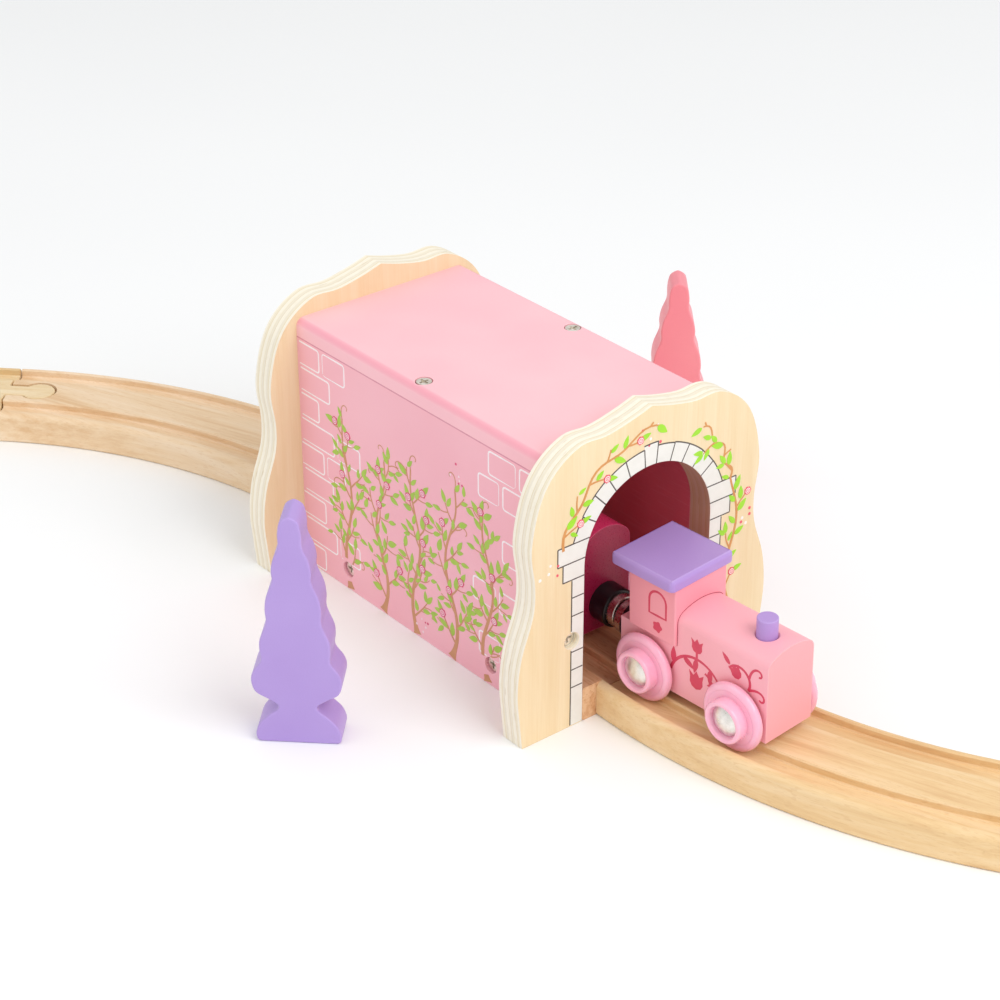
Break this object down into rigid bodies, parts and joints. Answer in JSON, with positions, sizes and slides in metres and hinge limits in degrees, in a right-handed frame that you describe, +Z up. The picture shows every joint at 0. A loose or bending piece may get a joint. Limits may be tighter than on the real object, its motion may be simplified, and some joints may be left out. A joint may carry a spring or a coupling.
{
  "type": "wooden train set with tunnel",
  "caption": "Toy wooden railway scene: a painted tunnel on grooved track, a magnet-coupled engine and carriage on spinning wheels, and free-standing slab trees.",
  "frame": {"origin": "on the floor under the middle of the tunnel, on the underside of its grooved floor", "axes": "+X along the tunnel towards the end the engine has left by, +Y across it towards the inside of the front curve, +Z up"},
  "size_m": [0.5293, 0.2453, 0.1022],
  "materials": {
    "portal_ply": "lacquered birch plywood",
    "pale_pink_paint": "satin paint on wood",
    "pink_paint": "satin paint on wood",
    "beech": "smooth beech",
    "pale_beech": "smooth beech",
    "screw_steel": "zinc plated",
    "engine_pink": "satin paint on wood",
    "purple_paint": "satin paint on wood",
    "pin_steel": "polished",
    "black_plastic": "gloss",
    "magnet_chrome": "plated",
    "hot_pink": "satin paint on wood",
    "wheel_pink": "gloss",
    "tree_pink": "satin paint on wood"
  },
  "bodies": {
    "tunnel": {"front_portal": "portal_ply", "rear_portal": "portal_ply", "tunnel_roof": "pale_pink_paint", "wall_right": "pink_paint", "wall_left": "pink_paint", "tunnel_track": "beech", "roof_screws": "screw_steel", "wall_right_screws": "screw_steel", "wall_left_screws": "screw_steel", "front_portal_screws": "screw_steel", "rear_portal_screws": "screw_steel", "front_curve_track": "beech"},
    "engine": {"engine_body": "engine_pink", "engine_cab": "engine_pink", "engine_roof": "purple_paint", "chimney": "purple_paint", "engine_axle_pins": "pin_steel", "engine_cup": "black_plastic", "engine_magnet": "magnet_chrome", "engine_cup_screw": "screw_steel"},
    "carriage": {"carriage_body": "hot_pink", "carriage_axle_pins": "pin_steel", "carriage_front_cup": "black_plastic", "carriage_front_magnet": "magnet_chrome", "carriage_front_cup_screw": "screw_steel", "carriage_rear_cup": "black_plastic", "carriage_rear_magnet": "magnet_chrome", "carriage_rear_cup_screw": "screw_steel"},
    "engine_wheel_front_right": {"engine_wheel_front_right": "wheel_pink"},
    "engine_wheel_front_left": {"engine_wheel_front_left": "wheel_pink"},
    "engine_wheel_rear_right": {"engine_wheel_rear_right": "wheel_pink"},
    "engine_wheel_rear_left": {"engine_wheel_rear_left": "wheel_pink"},
    "carriage_wheel_front_right": {"carriage_wheel_front_right": "wheel_pink"},
    "carriage_wheel_front_left": {"carriage_wheel_front_left": "wheel_pink"},
    "carriage_wheel_rear_right": {"carriage_wheel_rear_right": "wheel_pink"},
    "carriage_wheel_rear_left": {"carriage_wheel_rear_left": "wheel_pink"},
    "rear_curve": {"rear_curve_track": "beech"},
    "end_piece": {"end_track": "pale_beech"},
    "purple_tree_body": {"purple_tree": "purple_paint"},
    "pink_tree_body": {"pink_tree": "tree_pink"}
  },
  "joints": [
    {"name": "engine_roll", "type": "hinge", "parent": "tunnel", "child": "engine", "pos_m": [0.08058, 0.21163, 0], "axis": [0, 0, 1], "range_deg": [-3, 8.2]},
    {"name": "carriage_roll", "type": "slide", "parent": "tunnel", "child": "carriage", "axis": [1, 0, 0], "range_m": [-0.0115, 0.031]},
    {"name": "engine_wheel_front_right_spin", "type": "hinge", "parent": "engine", "child": "engine_wheel_front_right", "pos_m": [0.1212, -0.00919, 0.02052], "axis": [-0.0631, 0.9977, 0.0248], "continuous": true},
    {"name": "engine_wheel_front_left_spin", "type": "hinge", "parent": "engine", "child": "engine_wheel_front_left", "pos_m": [0.11966, 0.01525, 0.02113], "axis": [-0.0631, 0.9977, 0.0248], "continuous": true},
    {"name": "engine_wheel_rear_right_spin", "type": "hinge", "parent": "engine", "child": "engine_wheel_rear_right", "pos_m": [0.08428, -0.01153, 0.02052], "axis": [-0.0631, 0.9977, 0.0248], "continuous": true},
    {"name": "engine_wheel_rear_left_spin", "type": "hinge", "parent": "engine", "child": "engine_wheel_rear_left", "pos_m": [0.08273, 0.01291, 0.02113], "axis": [-0.0631, 0.9977, 0.0248], "continuous": true},
    {"name": "carriage_wheel_front_right_spin", "type": "hinge", "parent": "carriage", "child": "carriage_wheel_front_right", "pos_m": [0.04117, -0.01225, 0.02083], "axis": [0, 1, 0], "continuous": true},
    {"name": "carriage_wheel_front_left_spin", "type": "hinge", "parent": "carriage", "child": "carriage_wheel_front_left", "pos_m": [0.04117, 0.01225, 0.02083], "axis": [0, 1, 0], "continuous": true},
    {"name": "carriage_wheel_rear_right_spin", "type": "hinge", "parent": "carriage", "child": "carriage_wheel_rear_right", "pos_m": [0.00417, -0.01225, 0.02083], "axis": [0, 1, 0], "continuous": true},
    {"name": "carriage_wheel_rear_left_spin", "type": "hinge", "parent": "carriage", "child": "carriage_wheel_rear_left", "pos_m": [0.00417, 0.01225, 0.02083], "axis": [0, 1, 0], "continuous": true},
    {"name": "rear_curve_lift", "type": "slide", "parent": "tunnel", "child": "rear_curve", "axis": [0, 0, 1], "range_m": [0, 0.05]},
    {"name": "end_track_lift", "type": "slide", "parent": "tunnel", "child": "end_piece", "axis": [0, 0, 1], "range_m": [0, 0.05]},
    {"name": "purple_tree_lift", "type": "slide", "parent": "tunnel", "child": "purple_tree_body", "axis": [0, 0, 1], "range_m": [0, 0.1]},
    {"name": "pink_tree_lift", "type": "slide", "parent": "tunnel", "child": "pink_tree_body", "axis": [0, 0, 1], "range_m": [0, 0.1]}
  ],
  "couplings": [
    {"joint": "carriage_roll", "follows": "engine_roll", "m_per_rad": 0.2065},
    {"joint": "engine_wheel_front_right_spin", "follows": "engine_roll", "ratio": 19.531},
    {"joint": "engine_wheel_front_left_spin", "follows": "engine_roll", "ratio": 17.382},
    {"joint": "engine_wheel_rear_right_spin", "follows": "engine_roll", "ratio": 19.531},
    {"joint": "engine_wheel_rear_left_spin", "follows": "engine_roll", "ratio": 17.382},
    {"joint": "carriage_wheel_front_right_spin", "follows": "engine_roll", "ratio": 18.114},
    {"joint": "carriage_wheel_front_left_spin", "follows": "engine_roll", "ratio": 18.114},
    {"joint": "carriage_wheel_rear_right_spin", "follows": "engine_roll", "ratio": 18.114},
    {"joint": "carriage_wheel_rear_left_spin", "follows": "engine_roll", "ratio": 18.114}
  ]
}
